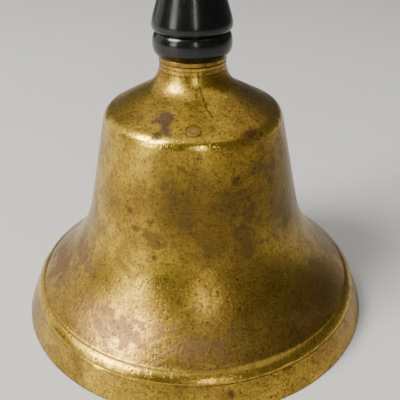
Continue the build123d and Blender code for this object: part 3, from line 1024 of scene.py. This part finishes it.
def make_rings():
    """Seat ring under the grip, washer over it, and the washers under the crown."""
    fitting = turned_brass("fitting_brass_turned", (0.62, 0.42, 0.16, 1.0), (0.30, 0.185, 0.06, 1.0), 0.28)
    steel = forged_metal(
        "steel_dull", (0.42, 0.41, 0.39, 1.0), (0.22, 0.21, 0.20, 1.0), (0.16, 0.075, 0.03, 1.0), 0.36, 1.0,
    )
    # Painted shade: the seat ring's brass is darker than the cap washer's, for the grip bead's shadow over
    # it.
    seat = turned_brass("seat_brass_painted_shade", (0.34, 0.20, 0.035, 1.0), (0.14, 0.080, 0.018, 1.0), 0.36)
    for name, node, edge, material, slot in (
        ("seat_ring_turned", "seat_ring", 0.35 * MM, seat, "fitting_brass"),
        ("cap_washer_turned", "cap_washer", 0.32 * MM, fitting, "fitting_brass"),
        ("crown_washer_stamped", "crown_washer", 0.30 * MM, steel, "steel"),
        ("crown_leather_cut", "crown_leather", 0.25 * MM, washer_leather(), "washer_leather"),
    ):
        shape = lathe(ring_outline(node, RING_BORE, edge), 128)
        piece(name, shape, [material], "bell", node, sharp=40)
    return fitting, steel


def nut_outline(base, top, corner, dome, cap):
    """A nut's section: corners turned round, with a dome up to the cap's height if it has a radius."""
    bevel = 0.9 * MM
    blind_end = base + 9 * MM
    low_bevel = 0.3 * bevel if dome else bevel
    outline = [(NUT_BORE, base), (corner - 1.5 * bevel, base), (corner, base + low_bevel)]
    outline += straight(outline[-1], (corner, top - bevel), 4)
    if not dome:
        return outline + [(corner - 1.5 * bevel, top), (NUT_BORE, top)]
    outline += [(dome, top)] + arc((0, top), dome, 0, 90, 16)[1:-1]
    return outline + [(0, cap), (0, blind_end), (NUT_BORE, blind_end)]


def make_nut(name, node, dome, material):
    """A hexagon nut over a frame node's box, domed if dome is a radius."""
    low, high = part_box(node)
    flats = high[1]
    shape = lathe(nut_outline(low[2], high[2] - dome, flats / cos(pi / 6), dome, high[2]), 96)
    for side in range(6):
        turn = pi / 6 + side * pi / 3
        normal = Vector((cos(turn), sin(turn), 0))
        bmesh.ops.bisect_plane(
            shape, geom=shape.verts[:] + shape.edges[:] + shape.faces[:], dist=1e-7,
            plane_co=normal * flats, plane_no=normal, clear_outer=True,
        )
        rim = [edge for edge in shape.edges if edge.is_boundary]
        if rim:
            bmesh.ops.holes_fill(shape, edges=rim)
    bmesh.ops.recalc_face_normals(shape, faces=shape.faces[:])
    return piece(name, shape, [material], "bell", node, sharp=25)


def thread_outline(start, end):
    """The section of a rolled thread between two heights, and where its last turn ends."""
    pitch = 1.25 * MM
    root = ROD_RADIUS - 0.35 * MM
    outline = []
    height = start
    while height + pitch < end:
        outline += [
            (root, height + 0.1 * pitch), (ROD_RADIUS, height + 0.45 * pitch),
            (ROD_RADIUS, height + 0.6 * pitch), (root, height + 0.95 * pitch),
        ]
        height += pitch
    return outline + [(ROD_RADIUS, height + pitch)]


def make_rod(steel):
    """The rod: a plain shank, a rolled thread at the crown nut, and a forged eye at the foot."""
    low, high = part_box("handle_rod")
    wire = 2.0 * MM
    eye = 6.2 * MM
    edge = 0.6 * MM
    eye_height = low[2] + eye + wire
    neck_foot = eye_height + eye
    neck_top = neck_foot + 2.6 * MM
    outline = [(0, neck_foot), (wire - 0.05 * MM, neck_foot), (ROD_RADIUS - 0.35 * MM, neck_top)]
    outline += thread_outline(neck_top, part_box("crown_leather")[1][2])
    outline += [(ROD_RADIUS, high[2] - edge), (ROD_RADIUS - edge, high[2]), (0, high[2])]
    shape = lathe(outline, 64, closed=False)
    torus(shape, eye_height, eye, wire, 0)
    return piece("handle_rod_forged", shape, [steel], "bell", "handle_rod", sharp=50)


def make_link(steel):
    """The closed link of round wire."""
    low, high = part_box("clapper_link")
    wire = high[0]
    radius = (high[2] - low[2]) / 2 - wire
    shape = bmesh.new()
    torus(shape, (high[2] + low[2]) / 2, radius, wire, 90)
    return piece("clapper_link_welded", shape, [steel], "link", "clapper_link", sharp=60)


RIVET_SHANK = 2.5 * MM
BALL_FACE = 4.8 * MM


def shank_outline(base, collar_base, top, wire):
    """The shank's section: hammered rivet end, collar over the ball, and the taper up to the eye."""
    collar = 4.4 * MM
    outline = [
        (0, base), (2.6 * MM, base + 0.05 * MM), (3.6 * MM, base + 0.45 * MM), (3.9 * MM, base + 1.0 * MM),
    ]
    outline += [(RIVET_SHANK, base + 1.0 * MM), (RIVET_SHANK, collar_base), (4.2 * MM, collar_base)]
    outline += [(collar, collar_base + 0.3 * MM), (collar, collar_base + 1.0 * MM)]
    outline += curve(
        outline[-1], (4.3 * MM, collar_base + 1.8 * MM), (2.9 * MM, collar_base + 1.9 * MM),
        (2.9 * MM, collar_base + 4 * MM), 8,
    )
    outline += straight(outline[-1], (2.7 * MM, top - 3.2 * MM), 12)
    return outline + [(wire - 0.05 * MM, top), (0, top)]


def make_shank(iron):
    """The clapper's forged shank with its eye."""
    low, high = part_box("clapper_shank")
    wire = 1.9 * MM
    eye = 5.0 * MM
    eye_height = high[2] - eye - wire
    collar_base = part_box("clapper_ball")[1][2]
    shape = lathe(shank_outline(low[2], collar_base, eye_height - eye, wire), 64, closed=False)
    torus(shape, eye_height, eye, wire, 0)
    piece("clapper_shank_forged", shape, [iron], "clapper", "clapper_shank", sharp=50)


def make_ball(iron):
    """The worn iron ball, flattened where the shank goes through."""
    low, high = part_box("clapper_ball")
    bore = RIVET_SHANK + 0.05 * MM
    middle = (low[2] + high[2]) / 2
    half = (high[2] - low[2]) / 2
    begin = atan2(-half, BALL_FACE) * 180 / pi
    outline = [(bore, middle - half)]
    outline += arc((0, middle), sqrt(half * half + BALL_FACE ** 2), begin, -begin, 48)
    outline += [(bore, middle + half)]
    shape = lathe(outline, 96)
    for vert in shape.verts:
        out = vert.co - Vector((0, 0, middle))
        if out.length > 6 * MM:
            vert.co -= out.normalized() * (0.06 + 0.06 * noise.noise(vert.co * 160)) * MM
    piece("clapper_ball_cast", shape, [iron], "clapper", "clapper_ball", sharp=50)


def make_clapper():
    """The clapper: forged shank with an eye and a rivet end, and the worn iron ball."""
    iron = forged_metal(
        "clapper_iron_worn", (0.17, 0.16, 0.15, 1.0), (0.07, 0.065, 0.06, 1.0), (0.13, 0.06, 0.025, 1.0),
        0.42, 1.0,
    )
    make_shank(iron)
    make_ball(iron)


# ---------------------------------------------------------------------------
# Stage
# ---------------------------------------------------------------------------

CAMERA_PLACE = Vector((0, -0.20908, 0.16906))
CAMERA_DOWN, CAMERA_TURN, CAMERA_ROLL = radians(30.54), radians(0.66), radians(-0.40)
LENS = 50.4
BELL_MIDDLE = (0, 0, 0.07)


def aim(made, place, target):
    """Places an object and points its -Z axis at a target."""
    made.location = place
    made.rotation_euler = (Vector(target) - Vector(place)).to_track_quat("-Z", "Y").to_euler()


def softbox(name, place, width, height, power, tone):
    """A soft rectangular light that looks at the bell's middle."""
    light = bpy.data.lights.new(name, "AREA")
    light.shape = "RECTANGLE"
    light.size = width
    light.size_y = height
    light.energy = power
    light.color = tone
    made = bpy.data.objects.new(name, light)
    bpy.context.collection.objects.link(made)
    aim(made, place, BELL_MIDDLE)


# Soft lights: name, place, width, height, power in watts, colour
LIGHTS = (
    ("ceiling", (0.0, 0.10, 1.30), 2.20, 2.00, 9.0, (1.0, 0.97, 0.92)),
    ("window_left", (-1.38, -0.61, 1.46), 0.90, 0.80, 64.0, (1.0, 0.985, 0.95)),
    ("window_low", (-1.15, -0.80, 0.42), 0.42, 0.50, 5.0, (0.98, 1.0, 0.93)),
    ("wall_left", (-1.60, 0.80, 0.60), 1.20, 1.20, 4.0, (1.0, 0.985, 0.95)),
    ("window_front", (0.22, -1.33, 0.60), 0.06, 0.70, 3.0, (1.0, 0.99, 0.97)),
)


def make_floor(colours):
    """A wide pale floor, faintly uneven in tone."""
    material, tree, shader, place = blank("pale_floor")
    wide = use(tree, shared("cloud"), Place=place, Size_mm=220.0, Low=0.3, High=0.7, Detail=2.0)["Mask"]
    tone = lay(tree, rgba(colours.floor), (0.55, 0.545, 0.53, 1.0), wide, 0.12)
    fill(shader, {"Base Color": tone, "Roughness": 0.5})
    shape = bmesh.new()
    bmesh.ops.create_grid(shape, x_segments=8, y_segments=8, size=3.0)
    mesh = bpy.data.meshes.new("floor")
    shape.to_mesh(mesh)
    shape.free()
    mesh.materials.append(material)
    floor = bpy.data.objects.new("floor", mesh)
    bpy.context.collection.objects.link(floor)


def make_room():
    """Dim, slightly cool surroundings."""
    world = bpy.data.worlds.new("room")
    world.use_nodes = True
    back = world.node_tree.nodes["Background"]
    back.inputs["Color"].default_value = (0.92, 0.95, 1.0, 1.0)
    back.inputs["Strength"].default_value = 0.13
    bpy.context.scene.world = world


def make_camera():
    """The camera, looking down at the bell from the front."""
    lens = bpy.data.cameras.new("camera")
    lens.lens = LENS
    lens.sensor_width = 36.0
    lens.clip_start = 0.005
    camera = bpy.data.objects.new("camera", lens)
    ahead = Vector((
        sin(CAMERA_TURN) * cos(CAMERA_DOWN), cos(CAMERA_TURN) * cos(CAMERA_DOWN), -sin(CAMERA_DOWN),
    ))
    side = Vector((cos(CAMERA_TURN), -sin(CAMERA_TURN), 0))
    rise = side.cross(ahead)
    across = side * cos(CAMERA_ROLL) + rise * sin(CAMERA_ROLL)
    upright = rise * cos(CAMERA_ROLL) - side * sin(CAMERA_ROLL)
    turned = Matrix((across, upright, -ahead)).transposed().to_4x4()
    camera.matrix_world = Matrix.Translation(CAMERA_PLACE) @ turned
    bpy.context.collection.objects.link(camera)
    bpy.context.scene.camera = camera


def make_stage(colours):
    """Pale floor, soft lights, dim surroundings and the camera."""
    make_floor(colours)
    for light in LIGHTS:
        softbox(*light)
    make_room()
    make_camera()


# ---------------------------------------------------------------------------
# Operators, panel and registration
# ---------------------------------------------------------------------------

class HANDBELL_OT_bell(Operator):
    """Make the cast bell and the round plug in its crown"""
    bl_idname = "handbell.bell"
    bl_label = "Bell"

    def execute(self, context):
        make_bell(context.scene.bell_sizes, context.scene.bell_colours)
        make_plug()
        return {"FINISHED"}


class HANDBELL_OT_grip(Operator):
    """Make the turned wooden grip"""
    bl_idname = "handbell.grip"
    bl_label = "Grip"

    def execute(self, context):
        make_grip(context.scene.grip_sizes, context.scene.bell_colours)
        return {"FINISHED"}


class HANDBELL_OT_fittings(Operator):
    """Make the rings, washers, nuts, rod and link that hold the bell together"""
    bl_idname = "handbell.fittings"
    bl_label = "Fittings"

    def execute(self, context):
        brass, steel = make_rings()
        make_nut("cap_nut_domed", "cap_nut", CAP_DOME, brass)
        make_nut("crown_nut_hexagon", "crown_nut", 0, steel)
        make_rod(steel)
        make_link(steel)
        return {"FINISHED"}


class HANDBELL_OT_clapper(Operator):
    """Make the clapper's shank and ball"""
    bl_idname = "handbell.clapper"
    bl_label = "Clapper"

    def execute(self, context):
        make_clapper()
        return {"FINISHED"}


class HANDBELL_OT_stage(Operator):
    """Make the floor, the lights and the camera"""
    bl_idname = "handbell.stage"
    bl_label = "Stage"

    def execute(self, context):
        make_stage(context.scene.bell_colours)
        return {"FINISHED"}


OPERATORS = (
    HANDBELL_OT_bell, HANDBELL_OT_grip, HANDBELL_OT_fittings, HANDBELL_OT_clapper, HANDBELL_OT_stage,
)


class HANDBELL_PT_panel(Panel):
    """Lists the handbell's sizes, colours and makers"""
    bl_idname = "HANDBELL_PT_panel"
    bl_label = "Handbell"
    bl_space_type = "VIEW_3D"
    bl_region_type = "UI"
    bl_category = "Handbell"

    def draw(self, context):
        for name, kind in SETTINGS.items():
            column = self.layout.column(align=True)
            settings = getattr(context.scene, name)
            for key in kind.__annotations__:
                column.prop(settings, key)
        for operator in OPERATORS:
            self.layout.operator(operator.bl_idname)


CLASSES = (*SETTINGS.values(), *OPERATORS, HANDBELL_PT_panel)


def register():
    for kind in CLASSES:
        bpy.utils.register_class(kind)
    for name, kind in SETTINGS.items():
        setattr(bpy.types.Scene, name, PointerProperty(type=kind))


def unregister():
    for name in SETTINGS:
        delattr(bpy.types.Scene, name)
    for kind in reversed(CLASSES):
        bpy.utils.unregister_class(kind)


def main():
    register()
    bpy.ops.handbell.bell()
    bpy.ops.handbell.grip()
    bpy.ops.handbell.fittings()
    bpy.ops.handbell.clapper()
    bpy.ops.handbell.stage()


if __name__ == "__main__":
    main()
